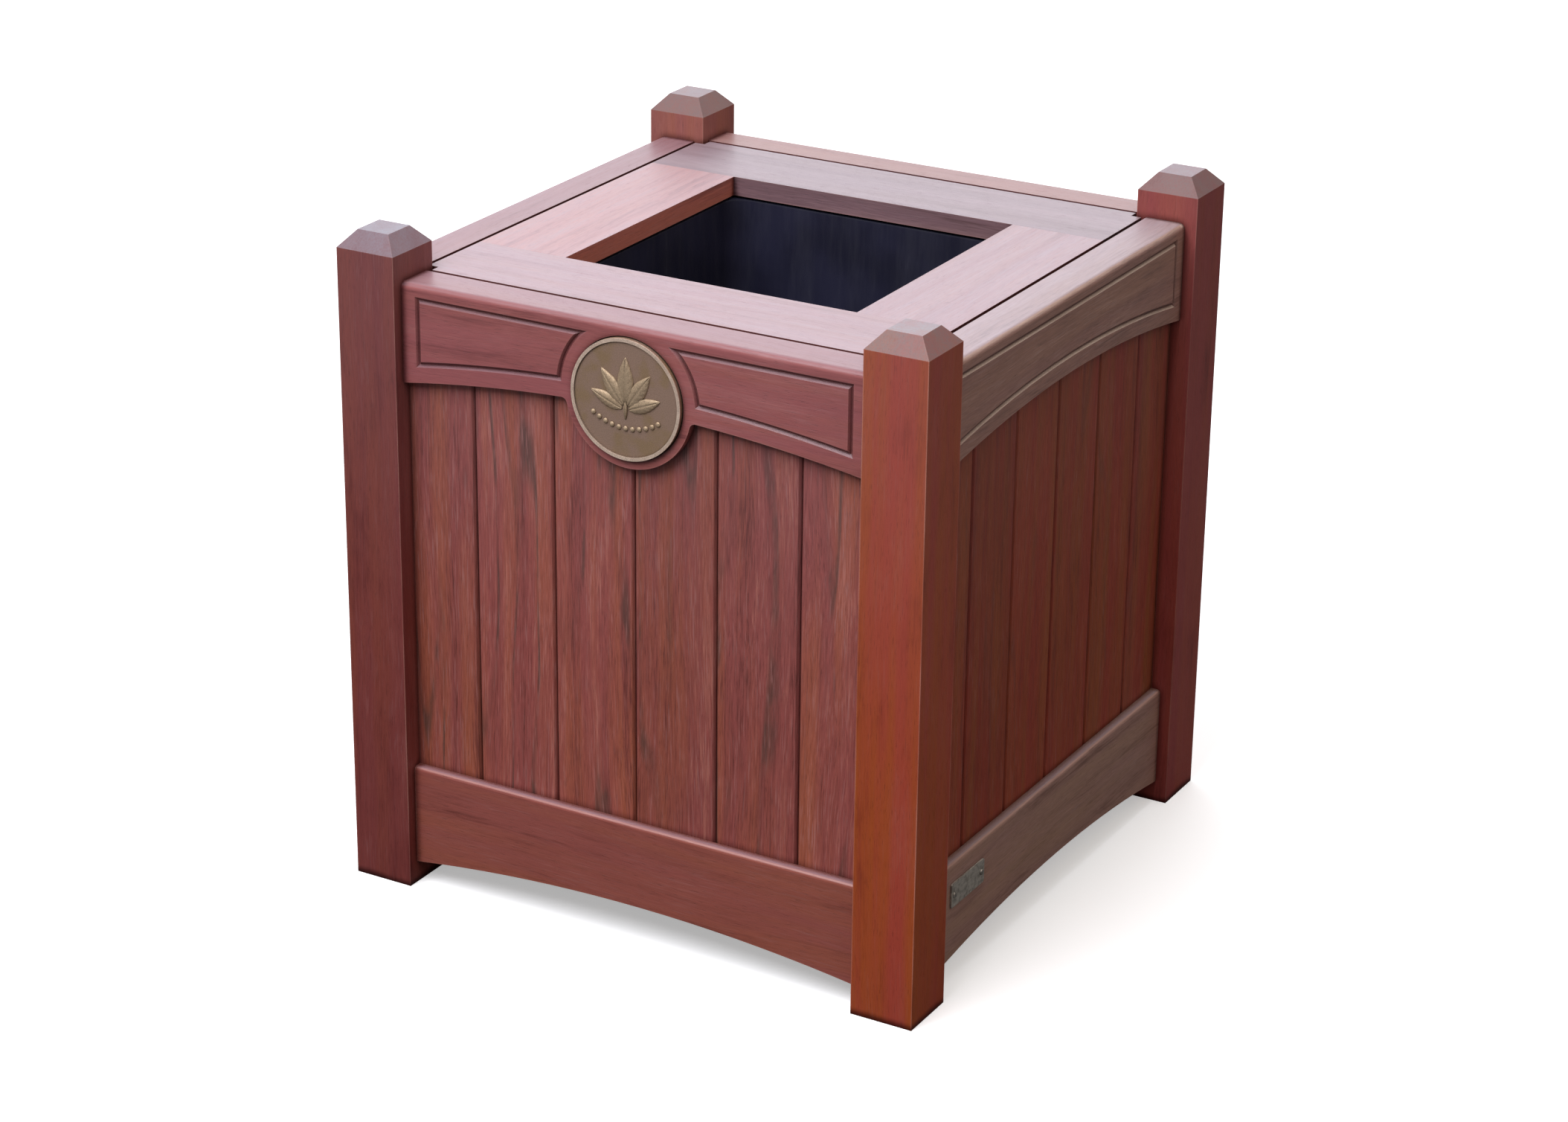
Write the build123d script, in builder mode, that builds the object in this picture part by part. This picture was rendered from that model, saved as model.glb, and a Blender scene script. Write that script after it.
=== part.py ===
"""Square hardwood planter box with a lift-off top frame and a loose plastic liner.

Millimetres, +Z up. The origin is on the ground at the middle of the box.
The front, with the medallion, faces -Y, and the side with the plate faces +X.
"""
import os
from math import cos, radians, sin, sqrt

from build123d import *

# Frame
WIDTH = 610.0            # over the posts, both ways
POST = 62.5              # square section of a post
SHOULDER_Z = 636.0       # where the bevelled top of a post begins
POST_TOP_Z = 652.0
POST_FLAT = 34.0         # square left at the very top of a post
TOP_Z = 610.0            # top of the aprons and of the lid

# Aprons and bottom rails
RAIL_SETBACK = 12.0      # from the face of a post to the face of a rail or apron
RAIL_THICK = 40.0
APRON_END_Z = 513.0      # underside of an apron, at its ends and at mid-span
APRON_MID_Z = 533.0
APRON_ROUND = 6.0        # rounding of its top outer edge
RAIL_TOP_Z = 123.0
RAIL_END_Z = 22.0        # underside of a bottom rail, at its ends and at mid-span
RAIL_MID_Z = 39.5
RAIL_ROUND = 4.0

# Routed outline on an apron
FIELD_TOP_Z = 595.5
FIELD_MARGIN = 17.5      # from the post, and from the arched underside
GROOVE_HALF_WIDTH = 2.7
GROOVE_DEPTH = 2.5
GROOVE_ANGLE = 45.0

# Boss and medallion on the front apron
MEDAL_Z = 542.5
MEDAL_RADIUS = 57.0
MEDAL_THICK = 6.0
MEDAL_RIM = 3.2
MEDAL_RIM_HEIGHT = 1.4
MEDAL_RECESS = 3.0
MEDAL_GAP = 1.0
BOSS_RADIUS = 66.0
BOSS_ROUND = 6.0         # inside corner between the boss and the arch
FIELD_CLEAR_RADIUS = 72.5
STUD_RADIUS = 2.5
STUD_LENGTH = 20.0
STUD_X = 28.0
STUD_Z = 560.0

# Tongue-and-groove boards
BOARDS = 6               # on each side
BOARD_PITCH = 86.0
BOARD_SETBACK = 10.0     # behind the faces of the rails
BOARD_THICK = 18.0
BOARD_BOTTOM_Z = 110.0
BOARD_TOP_Z = 545.0
BOARD_INTO_POST = 7.0
BOARD_GAP = 0.5          # between neighbouring faces
V_JOINT = 2.6
TONGUE = 6.0             # reach and thickness
SLOT_GAP = 0.25          # play round a board in its slots, and round a tongue
SLOT_BOTTOM_Z = 108.0
SLOT_TOP_Z = 548.0
SLOT_INTO_POST = 8.0

# Lid
LID_THICK = 19.0
LID_GAP = 4.0            # between the lid and the aprons or posts
OPENING = 308.0          # square opening
# Ledgers that carry the lid
LEDGER_WIDTH = 20.0
LEDGER_HEIGHT = 32.0

# Floor
CLEAT_WIDTH = 25.0
CLEAT_BOTTOM_Z = 45.0
CLEAT_TOP_Z = 75.0
CLEAT_LENGTH = 480.0
SLATS = 4
SLAT_WIDTH = 95.0
SLAT_PITCH = 120.0
SLAT_THICK = 15.0

# Liner
LINER_TOP_WIDTH = 316.0
LINER_BOTTOM_WIDTH = 292.0
LINER_WALL = 3.0
LINER_CORNER = 22.0
LINER_RIM_REACH = 14.0
LINER_SKIRT = 16.0
LINER_TOP_Z = 588.0
DRAIN_RADIUS = 6.0
DRAIN_PITCH = 120.0

# Plate on the right bottom rail
PLATE_WIDTH = 65.0
PLATE_HEIGHT = 24.0
PLATE_THICK = 1.6
PLATE_Y = -179.0
PLATE_Z = 91.0
PLATE_CORNER = 2.0
PLATE_SCREW_PITCH = 54.0
PLATE_SCREW_RADIUS = 1.5
PLATE_SCREW_LENGTH = 12.0
PLATE_HEAD_RADIUS = 3.0
PLATE_HEAD_HEIGHT = 1.4
PLATE_HEAD_ROUND = 1.1
PLATE_SLOT_WIDTH = 0.7
PLATE_SLOT_DEPTH = 0.6

# Dowels and screws
RUN_PAST = 1.0           # how far a cut runs past what it cuts
FIT_GAP = 0.05           # between a dowel, stud or screw and its hole
DOWEL_RADIUS = 5.0
DOWEL_LENGTH = 44.0
APRON_DOWEL_Z = (562.0, 592.0)
RAIL_DOWEL_Z = (45.0, 85.0)
LID_DOWEL_RADIUS = 4.0
LID_DOWEL_LENGTH = 60.0
LID_DOWEL_PITCH = 50.0
SCREW_RADIUS = 2.0
SCREW_HEAD_RADIUS = 4.0
SCREW_HEAD_HEIGHT = 2.5
SCREW_DRIVE = 2.4        # square socket in a countersunk head
SCREW_DRIVE_DEPTH = 1.4
LEDGER_SCREW_LENGTH = 40.0
LEDGER_SCREW_X = (-190.0, 0.0, 190.0)
CLEAT_SCREW_LENGTH = 45.0
CLEAT_SCREW_Y = (-120.0, 0.0, 120.0)
SLAT_SCREW_LENGTH = 36.0
SLAT_SCREW_PITCH = 50.0

# Worked-out places
HALF = WIDTH / 2
POST_CENTRE = HALF - POST / 2
SPAN = WIDTH - 2 * POST              # clear length between two posts
RAIL_FACE = HALF - RAIL_SETBACK      # distance of a rail's outer face from the middle
RAIL_BACK = RAIL_FACE - RAIL_THICK
BOARD_FACE = RAIL_FACE - BOARD_SETBACK
BOARD_BACK = BOARD_FACE - BOARD_THICK
LID_HALF = RAIL_BACK - LID_GAP
LID_NOTCH = LID_HALF - (SPAN / 2 - LID_GAP)
LID_BOTTOM_Z = TOP_Z - LID_THICK
LID_BOARD = LID_HALF - OPENING / 2
LEDGER_FACE = RAIL_BACK - LEDGER_WIDTH
LEDGER_MID_Z = LID_BOTTOM_Z - LEDGER_HEIGHT / 2
CLEAT_FACE = RAIL_BACK - CLEAT_WIDTH
CLEAT_MID_Z = (CLEAT_BOTTOM_Z + CLEAT_TOP_Z) / 2
FLOOR_Z = CLEAT_TOP_Z + SLAT_THICK

SIDES = {"front": 0, "right": 90, "rear": 180, "left": 270}
CORNERS = {
    "front_left": (-1, -1),
    "front_right": (1, -1),
    "rear_right": (1, 1),
    "rear_left": (-1, 1),
}
FLUSH = (Align.CENTER, Align.CENTER, Align.MIN)

os.makedirs("parts", exist_ok=True)


def finish(builder, name):
    """Label a finished piece and write its STEP file."""
    builder.part.label = name
    export_step(builder.part, f"parts/{name}.step")


def along(angle):
    """Unit vector along a side, from left to right as seen from outside."""
    return Vector(cos(radians(angle)), sin(radians(angle)), 0)


def outward(angle):
    """Unit vector that points out of a side."""
    return Vector(sin(radians(angle)), -cos(radians(angle)), 0)


def side_plane(angle, distance):
    """Upright plane parallel to a side: local x along it, local y up, normal outwards."""
    return Plane(outward(angle) * distance, x_dir=along(angle), z_dir=outward(angle))


def plan_plane(angle, height):
    """Level plane at a height: local x along the side, local y inwards."""
    return Plane((0, 0, height), x_dir=along(angle), z_dir=(0, 0, 1))


def place(angle, across, distance, height):
    """Point given along a side, out from the middle, and up."""
    return along(angle) * across + outward(angle) * distance + Vector(0, 0, height)


def arch_radius(end_z, mid_z):
    """Radius of the arch that spans between two posts."""
    rise = mid_z - end_z
    return ((SPAN / 2) ** 2 + rise ** 2) / (2 * rise)


def arched_outline(half_length, end_z, mid_z, top_z):
    """Outline with a straight top and an arched underside, as a sketch."""
    with BuildSketch() as outline:
        with BuildLine():
            Polyline((-half_length, end_z), (-half_length, top_z),
                     (half_length, top_z), (half_length, end_z))
            ThreePointArc((-half_length, end_z), (0, mid_z), (half_length, end_z))
        make_face()
    return outline.sketch


def groove_cutter(field):
    """V-groove that follows the edge of a field, cut down from the local XY plane."""
    with BuildPart() as cutter:
        with BuildSketch():
            offset(field, amount=GROOVE_HALF_WIDTH, kind=Kind.INTERSECTION)
        extrude(amount=-GROOVE_DEPTH, taper=GROOVE_ANGLE)
        with BuildSketch():
            offset(field, amount=-GROOVE_HALF_WIDTH)
        extrude(amount=-GROOVE_DEPTH, taper=-GROOVE_ANGLE, mode=Mode.SUBTRACT)
    return cutter.part


def dowel_places(angle, heights):
    """Places of the dowels at both ends of a rail, with z along the dowel."""
    middle = (RAIL_FACE + RAIL_BACK) / 2
    return [
        Plane(place(angle, end * SPAN / 2, middle, z), z_dir=along(angle))
        for end in (-1, 1)
        for z in heights
    ]


def dowels(places, radius, length, gap=0.0, mode=Mode.ADD):
    """Make dowels centred on their joints, or their holes where a gap is given."""
    with Locations(*places):
        Cylinder(radius + gap, length + 2 * gap, mode=mode)


def screws(places, length, gap=0.0, mode=Mode.ADD):
    """Make countersunk screws, or their holes. Each points along the z of its place."""
    with Locations(*places):
        Cylinder(SCREW_RADIUS + gap, length + gap, align=FLUSH, mode=mode)
        Cone(SCREW_HEAD_RADIUS + gap, SCREW_RADIUS + gap, SCREW_HEAD_HEIGHT, align=FLUSH, mode=mode)
        if mode == Mode.ADD:
            Box(SCREW_DRIVE, SCREW_DRIVE, SCREW_DRIVE_DEPTH, align=FLUSH, mode=Mode.SUBTRACT)


def ledger_screw_places(angle):
    """Heads on the inner face of a ledger, pointing out into the apron."""
    return [
        Plane(place(angle, x, LEDGER_FACE, LEDGER_MID_Z), z_dir=outward(angle))
        for x in LEDGER_SCREW_X
    ]


def cleat_screw_places(angle):
    """Heads on the inner face of a cleat, pointing out into the rail."""
    return [
        Plane(place(angle, y, CLEAT_FACE, CLEAT_MID_Z), z_dir=outward(angle))
        for y in CLEAT_SCREW_Y
    ]


def slat_screw_places(number):
    """Heads on top of one floor slat, pointing down into the two cleats."""
    middle = (number - (SLATS - 1) / 2) * SLAT_PITCH
    x = (CLEAT_FACE + RAIL_BACK) / 2
    return [
        Plane((end * x, middle + side * SLAT_SCREW_PITCH / 2, FLOOR_Z), z_dir=(0, 0, -1))
        for end in (-1, 1)
        for side in (-1, 1)
    ]


def lid_dowel_places():
    """Dowels in the four butt joints of the lid, along Y."""
    middle = (LID_HALF + OPENING / 2) / 2
    return [
        Plane((x * middle + step * LID_DOWEL_PITCH / 2, y * OPENING / 2, TOP_Z - LID_THICK / 2),
              z_dir=(0, 1, 0))
        for x in (-1, 1)
        for y in (-1, 1)
        for step in (-1, 1)
    ]


STUD_PLACES = [
    Plane(place(0, x, RAIL_FACE - MEDAL_RECESS, STUD_Z), z_dir=-outward(0))
    for x in (-STUD_X, STUD_X)
]
PLATE_SCREW_PLACES = [
    Plane((RAIL_FACE + PLATE_THICK, PLATE_Y + step * PLATE_SCREW_PITCH / 2, PLATE_Z), z_dir=(-1, 0, 0))
    for step in (-1, 1)
]

# Posts: a square bar with a bevelled top, slots for the end boards and dowel holes
for corner, (x_sign, y_sign) in CORNERS.items():
    with BuildPart() as post:
        with BuildSketch():
            with Locations((x_sign * POST_CENTRE, y_sign * POST_CENTRE)):
                Rectangle(POST, POST)
        extrude(amount=SHOULDER_Z)
        with BuildSketch(Plane.XY.offset(SHOULDER_Z)):
            with Locations((x_sign * POST_CENTRE, y_sign * POST_CENTRE)):
                Rectangle(POST, POST)
        with BuildSketch(Plane.XY.offset(POST_TOP_Z)):
            with Locations((x_sign * POST_CENTRE, y_sign * POST_CENTRE)):
                Rectangle(POST_FLAT, POST_FLAT)
        loft()
        slot_middle = (BOARD_FACE + BOARD_BACK) / 2
        slot_edge = SPAN / 2 + SLOT_INTO_POST / 2
        with BuildSketch(Plane.XY.offset(SLOT_BOTTOM_Z)):
            with Locations((x_sign * slot_edge, y_sign * slot_middle)):
                Rectangle(SLOT_INTO_POST, BOARD_THICK + 2 * SLOT_GAP)
            with Locations((x_sign * slot_middle, y_sign * slot_edge)):
                Rectangle(BOARD_THICK + 2 * SLOT_GAP, SLOT_INTO_POST)
        extrude(amount=SLOT_TOP_Z - SLOT_BOTTOM_Z, mode=Mode.SUBTRACT)
        nearby = [
            joint for angle in SIDES.values()
            for joint in dowel_places(angle, APRON_DOWEL_Z + RAIL_DOWEL_Z)
            if joint.origin.X * x_sign > 0 and joint.origin.Y * y_sign > 0
        ]
        dowels(nearby, DOWEL_RADIUS, DOWEL_LENGTH, FIT_GAP, Mode.SUBTRACT)
    finish(post, f"post_{corner}")

# Plan of the slot that holds the ends of the boards in a rail or apron
with BuildSketch() as board_slot:
    with Locations((0, -(BOARD_FACE + BOARD_BACK) / 2)):
        Rectangle(SPAN + RUN_PAST, BOARD_THICK + 2 * SLOT_GAP)

# Aprons: arched underside, rounded top edge and a routed V-groove outline
apron_outline = arched_outline(SPAN / 2, APRON_END_Z, APRON_MID_Z, TOP_Z)
field_half = SPAN / 2 - FIELD_MARGIN
apron_arch = arch_radius(APRON_END_Z, APRON_MID_Z)
field_arch = apron_arch + FIELD_MARGIN
field_mid_z = APRON_MID_Z + FIELD_MARGIN
field_end_z = field_mid_z - field_arch + sqrt(field_arch ** 2 - field_half ** 2)
field_outline = arched_outline(field_half, field_end_z, field_mid_z, FIELD_TOP_Z)
side_groove = groove_cutter(field_outline.face())
with BuildSketch() as front_fields:
    add(field_outline)
    with Locations((0, MEDAL_Z)):
        Circle(FIELD_CLEAR_RADIUS, mode=Mode.SUBTRACT)
with BuildPart() as front_groove:
    add(groove_cutter(front_fields.faces().sort_by(Axis.X)[0]))
    mirror(about=Plane.YZ)
for side, angle in SIDES.items():
    face_plane = side_plane(angle, RAIL_FACE)
    out_axis = Axis((0, 0, 0), outward(angle))
    with BuildPart() as apron:
        with BuildSketch(face_plane):
            add(apron_outline)
        extrude(amount=-RAIL_THICK)
        with BuildSketch(plan_plane(angle, SLOT_BOTTOM_Z)):
            add(board_slot.sketch)
        extrude(amount=SLOT_TOP_Z - SLOT_BOTTOM_Z, mode=Mode.SUBTRACT)
        if side == "front":
            with BuildSketch(face_plane) as boss:
                add(apron_outline)
                with Locations((0, MEDAL_Z)):
                    Circle(BOSS_RADIUS)
                fillet(boss.vertices().sort_by_distance((0, MEDAL_Z))[:2], BOSS_ROUND)
            extrude(amount=-(BOARD_SETBACK - SLOT_GAP))
            with BuildSketch(face_plane):
                with Locations((0, MEDAL_Z)):
                    Circle(MEDAL_RADIUS + MEDAL_GAP)
            extrude(amount=-MEDAL_RECESS, mode=Mode.SUBTRACT)
            dowels(STUD_PLACES, STUD_RADIUS, 2 * STUD_LENGTH, FIT_GAP, Mode.SUBTRACT)
        top_edge = apron.faces().sort_by(Axis.Z)[-1].edges().sort_by(out_axis)[-1]
        fillet(top_edge, APRON_ROUND)
        with Locations(face_plane):
            add(front_groove.part if side == "front" else side_groove, mode=Mode.SUBTRACT)
        dowels(dowel_places(angle, APRON_DOWEL_Z), DOWEL_RADIUS, DOWEL_LENGTH, FIT_GAP, Mode.SUBTRACT)
        screws(ledger_screw_places(angle), LEDGER_SCREW_LENGTH, FIT_GAP, Mode.SUBTRACT)
    finish(apron, f"apron_{side}")

# Bottom rails: arched underside, rounded top edge
for side, angle in SIDES.items():
    out_axis = Axis((0, 0, 0), outward(angle))
    with BuildPart() as rail:
        with BuildSketch(side_plane(angle, RAIL_FACE)):
            add(arched_outline(SPAN / 2, RAIL_END_Z, RAIL_MID_Z, RAIL_TOP_Z))
        extrude(amount=-RAIL_THICK)
        top_edge = rail.faces().sort_by(Axis.Z)[-1].edges().sort_by(out_axis)[-1]
        fillet(top_edge, RAIL_ROUND)
        with BuildSketch(plan_plane(angle, SLOT_BOTTOM_Z)):
            add(board_slot.sketch)
        extrude(amount=SLOT_TOP_Z - SLOT_BOTTOM_Z, mode=Mode.SUBTRACT)
        dowels(dowel_places(angle, RAIL_DOWEL_Z), DOWEL_RADIUS, DOWEL_LENGTH, FIT_GAP, Mode.SUBTRACT)
        if side in ("left", "right"):
            screws(cleat_screw_places(angle), CLEAT_SCREW_LENGTH, FIT_GAP, Mode.SUBTRACT)
        if side == "right":
            dowels(PLATE_SCREW_PLACES, PLATE_SCREW_RADIUS, 2 * PLATE_SCREW_LENGTH, FIT_GAP, Mode.SUBTRACT)
    finish(rail, f"rail_{side}")

# Boards: tongue on the right edge, slot on the left, and half a V-joint on each front corner
for side, angle in SIDES.items():
    for number in range(BOARDS):
        left = (number - BOARDS / 2) * BOARD_PITCH + BOARD_GAP / 2
        right = left + BOARD_PITCH - BOARD_GAP
        if number == 0:
            left = -SPAN / 2 - BOARD_INTO_POST
        if number == BOARDS - 1:
            right = SPAN / 2 + BOARD_INTO_POST
        middle_y = -(BOARD_FACE + BOARD_BACK) / 2
        with BuildPart() as board:
            with BuildSketch(plan_plane(angle, BOARD_BOTTOM_Z)) as section:
                with Locations(((left + right) / 2, middle_y)):
                    Rectangle(right - left, BOARD_THICK)
                chamfer(section.vertices().group_by(Axis.Y)[0], V_JOINT)
                if number > 0:
                    with Locations((left, middle_y)):
                        Rectangle(2 * (TONGUE + SLOT_GAP), TONGUE + 2 * SLOT_GAP, mode=Mode.SUBTRACT)
                if number < BOARDS - 1:
                    with Locations((right, middle_y)):
                        Rectangle(2 * TONGUE, TONGUE)
            extrude(amount=BOARD_TOP_Z - BOARD_BOTTOM_Z)
        finish(board, f"board_{side}_{number + 1}")

# Lid: front and rear boards run the full width and are notched round the posts
for side, y_sign in (("front", -1), ("rear", 1)):
    with BuildPart() as lid_long:
        with BuildSketch(Plane.XY.offset(LID_BOTTOM_Z)):
            with Locations((0, y_sign * (LID_HALF - LID_BOARD / 2))):
                Rectangle(2 * LID_HALF, LID_BOARD)
            with Locations((-LID_HALF, y_sign * LID_HALF), (LID_HALF, y_sign * LID_HALF)):
                Rectangle(2 * LID_NOTCH, 2 * LID_NOTCH, mode=Mode.SUBTRACT)
        extrude(amount=LID_THICK)
        dowels(lid_dowel_places(), LID_DOWEL_RADIUS, LID_DOWEL_LENGTH, FIT_GAP, Mode.SUBTRACT)
    finish(lid_long, f"lid_board_{side}")

for side, x_sign in (("left", -1), ("right", 1)):
    with BuildPart() as lid_short:
        with BuildSketch(Plane.XY.offset(LID_BOTTOM_Z)):
            with Locations((x_sign * (LID_HALF - LID_BOARD / 2), 0)):
                Rectangle(LID_BOARD, OPENING)
        extrude(amount=LID_THICK)
        dowels(lid_dowel_places(), LID_DOWEL_RADIUS, LID_DOWEL_LENGTH, FIT_GAP, Mode.SUBTRACT)
    finish(lid_short, f"lid_board_{side}")

with BuildPart() as lid_pins:
    dowels(lid_dowel_places(), LID_DOWEL_RADIUS, LID_DOWEL_LENGTH)
finish(lid_pins, "lid_dowels")

# Ledgers: the front and rear ones reach the posts, the side ones fit between them
for side, angle in SIDES.items():
    length = SPAN if side in ("front", "rear") else 2 * LEDGER_FACE
    with BuildPart() as ledger:
        with BuildSketch(side_plane(angle, LEDGER_FACE)):
            with Locations((0, LEDGER_MID_Z)):
                Rectangle(length, LEDGER_HEIGHT)
        extrude(amount=LEDGER_WIDTH)
        screws(ledger_screw_places(angle), LEDGER_SCREW_LENGTH, FIT_GAP, Mode.SUBTRACT)
    finish(ledger, f"ledger_{side}")

# Floor: two cleats carry the slats
for side in ("left", "right"):
    angle = SIDES[side]
    with BuildPart() as cleat:
        with BuildSketch(side_plane(angle, CLEAT_FACE)):
            with Locations((0, CLEAT_MID_Z)):
                Rectangle(CLEAT_LENGTH, CLEAT_TOP_Z - CLEAT_BOTTOM_Z)
        extrude(amount=CLEAT_WIDTH)
        screws(cleat_screw_places(angle), CLEAT_SCREW_LENGTH, FIT_GAP, Mode.SUBTRACT)
        for number in range(SLATS):
            screws(slat_screw_places(number), SLAT_SCREW_LENGTH, FIT_GAP, Mode.SUBTRACT)
    finish(cleat, f"floor_cleat_{side}")

for number in range(SLATS):
    with BuildPart() as slat:
        with BuildSketch(Plane.XY.offset(CLEAT_TOP_Z)):
            with Locations((0, (number - (SLATS - 1) / 2) * SLAT_PITCH)):
                Rectangle(2 * RAIL_BACK, SLAT_WIDTH)
        extrude(amount=SLAT_THICK)
        screws(slat_screw_places(number), SLAT_SCREW_LENGTH, FIT_GAP, Mode.SUBTRACT)
    finish(slat, f"floor_slat_{number + 1}")

# Liner: a tapered bin with a turned-down rim and drain holes
with BuildPart() as liner:
    with BuildSketch(Plane.XY.offset(FLOOR_Z)):
        RectangleRounded(LINER_BOTTOM_WIDTH, LINER_BOTTOM_WIDTH, LINER_CORNER)
    with BuildSketch(Plane.XY.offset(LINER_TOP_Z)):
        RectangleRounded(LINER_TOP_WIDTH, LINER_TOP_WIDTH, LINER_CORNER)
    loft()
    rim_width = LINER_TOP_WIDTH + 2 * LINER_RIM_REACH
    with BuildSketch(Plane.XY.offset(LINER_TOP_Z)):
        RectangleRounded(rim_width, rim_width, LINER_CORNER + LINER_RIM_REACH)
    extrude(amount=-LINER_WALL)
    with BuildSketch(Plane.XY.offset(LINER_TOP_Z)):
        RectangleRounded(rim_width, rim_width, LINER_CORNER + LINER_RIM_REACH)
        inner_width = rim_width - 2 * LINER_WALL
        RectangleRounded(inner_width, inner_width, LINER_CORNER + LINER_RIM_REACH - LINER_WALL,
                         mode=Mode.SUBTRACT)
    extrude(amount=-LINER_SKIRT)
    with BuildSketch(Plane.XY.offset(FLOOR_Z + LINER_WALL)):
        width = LINER_BOTTOM_WIDTH - 2 * LINER_WALL
        RectangleRounded(width, width, LINER_CORNER - LINER_WALL)
    with BuildSketch(Plane.XY.offset(LINER_TOP_Z)):
        width = LINER_TOP_WIDTH - 2 * LINER_WALL
        RectangleRounded(width, width, LINER_CORNER - LINER_WALL)
    loft(mode=Mode.SUBTRACT)
    with Locations((0, 0, FLOOR_Z)):
        with GridLocations(DRAIN_PITCH, DRAIN_PITCH, 2, 2):
            Cylinder(DRAIN_RADIUS, 2 * (LINER_WALL + RUN_PAST), mode=Mode.SUBTRACT)
finish(liner, "liner")

# Medallion: a disc with a raised rim, set in the recess of the boss
with BuildPart() as medallion:
    with BuildSketch(side_plane(0, RAIL_FACE - MEDAL_RECESS)):
        with Locations((0, MEDAL_Z)):
            Circle(MEDAL_RADIUS)
    extrude(amount=MEDAL_THICK)
    with BuildSketch(side_plane(0, RAIL_FACE - MEDAL_RECESS + MEDAL_THICK)):
        with Locations((0, MEDAL_Z)):
            Circle(MEDAL_RADIUS)
            Circle(MEDAL_RADIUS - MEDAL_RIM, mode=Mode.SUBTRACT)
    extrude(amount=MEDAL_RIM_HEIGHT)
finish(medallion, "medallion")

with BuildPart() as studs:
    with Locations(*STUD_PLACES):
        Cylinder(STUD_RADIUS, STUD_LENGTH, align=FLUSH)
finish(studs, "medallion_studs")

# Plate with two round-headed slotted screws
with BuildPart() as plate:
    with BuildSketch(side_plane(90, RAIL_FACE)):
        with Locations((PLATE_Y, PLATE_Z)):
            RectangleRounded(PLATE_WIDTH, PLATE_HEIGHT, PLATE_CORNER)
    extrude(amount=PLATE_THICK)
    dowels(PLATE_SCREW_PLACES, PLATE_SCREW_RADIUS, 2 * PLATE_SCREW_LENGTH, FIT_GAP, Mode.SUBTRACT)
finish(plate, "nameplate")

with BuildPart() as plate_screws:
    with Locations(*PLATE_SCREW_PLACES):
        Cylinder(PLATE_SCREW_RADIUS, PLATE_SCREW_LENGTH, align=FLUSH)
    for screw_place in PLATE_SCREW_PLACES:
        with BuildSketch(screw_place):
            Circle(PLATE_HEAD_RADIUS)
        extrude(amount=-PLATE_HEAD_HEIGHT)
    head_rims = plate_screws.faces().sort_by(Axis.X)[-2:].edges()
    fillet(head_rims, PLATE_HEAD_ROUND)
    for screw_place in PLATE_SCREW_PLACES:
        with BuildSketch(screw_place.offset(-PLATE_HEAD_HEIGHT)):
            Rectangle(2 * PLATE_HEAD_RADIUS, PLATE_SLOT_WIDTH)
        extrude(amount=PLATE_SLOT_DEPTH, mode=Mode.SUBTRACT)
finish(plate_screws, "nameplate_screws")

# Dowels and screws of the frame, ledgers and floor, each kind in one node
with BuildPart() as frame_dowels:
    for angle in SIDES.values():
        dowels(dowel_places(angle, APRON_DOWEL_Z + RAIL_DOWEL_Z), DOWEL_RADIUS, DOWEL_LENGTH)
finish(frame_dowels, "frame_dowels")

with BuildPart() as ledger_screws:
    for angle in SIDES.values():
        screws(ledger_screw_places(angle), LEDGER_SCREW_LENGTH)
finish(ledger_screws, "ledger_screws")

with BuildPart() as floor_screws:
    for side in ("left", "right"):
        screws(cleat_screw_places(SIDES[side]), CLEAT_SCREW_LENGTH)
    for number in range(SLATS):
        screws(slat_screw_places(number), SLAT_SCREW_LENGTH)
finish(floor_screws, "floor_screws")
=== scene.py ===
"""The looks of a hardwood planter box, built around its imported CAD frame. All lengths are in metres."""

import math
import random

import bmesh
import bpy
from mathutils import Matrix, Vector


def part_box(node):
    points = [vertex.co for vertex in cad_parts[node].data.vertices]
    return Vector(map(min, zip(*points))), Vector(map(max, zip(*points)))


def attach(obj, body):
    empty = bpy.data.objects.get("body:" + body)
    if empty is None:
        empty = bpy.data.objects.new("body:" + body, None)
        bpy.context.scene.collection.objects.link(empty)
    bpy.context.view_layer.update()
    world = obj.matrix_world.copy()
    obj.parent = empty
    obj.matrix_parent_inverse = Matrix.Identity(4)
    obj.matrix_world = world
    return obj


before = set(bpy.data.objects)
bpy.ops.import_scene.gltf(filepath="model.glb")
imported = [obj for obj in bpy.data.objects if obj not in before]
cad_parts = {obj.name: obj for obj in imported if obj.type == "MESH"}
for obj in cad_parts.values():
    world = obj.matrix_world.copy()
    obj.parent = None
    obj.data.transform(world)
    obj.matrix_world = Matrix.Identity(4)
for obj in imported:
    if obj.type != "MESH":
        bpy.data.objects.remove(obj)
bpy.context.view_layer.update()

# ---------------------------------------------------------------- sizes and places

CAMERA_AZIMUTH = 31.315     # degrees, from the front towards the right
CAMERA_ELEVATION = 22.253
CAMERA_PLACE = (1.6775, -2.9738, 1.6812)
CAMERA_LENS = 87.06         # millimetres, as is the sensor
CAMERA_SENSOR = 36.0
CAMERA_SHIFT = 0.0712

FLOOR_SIZE = 60.0
FLOOR_GLOW = 0.40
FLOOR_ROUGHNESS = 0.9
FLOOR_SHEEN = 0.1
FLOOR_CLOUDS_PER_METRE, FLOOR_CLOUD_DETAIL = 1.5, 4.0
FLOOR_BOUNCE = (0.13, 0.13, 0.135, 1.0)
WHITE = (1.0, 1.0, 1.0, 1.0)
WORLD_LIGHT = 0.26
WORLD_COLOR = (1.0, 0.96, 0.93, 1.0)
BACKDROP = (0.84, 0.84, 0.85, 1.0)

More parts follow.
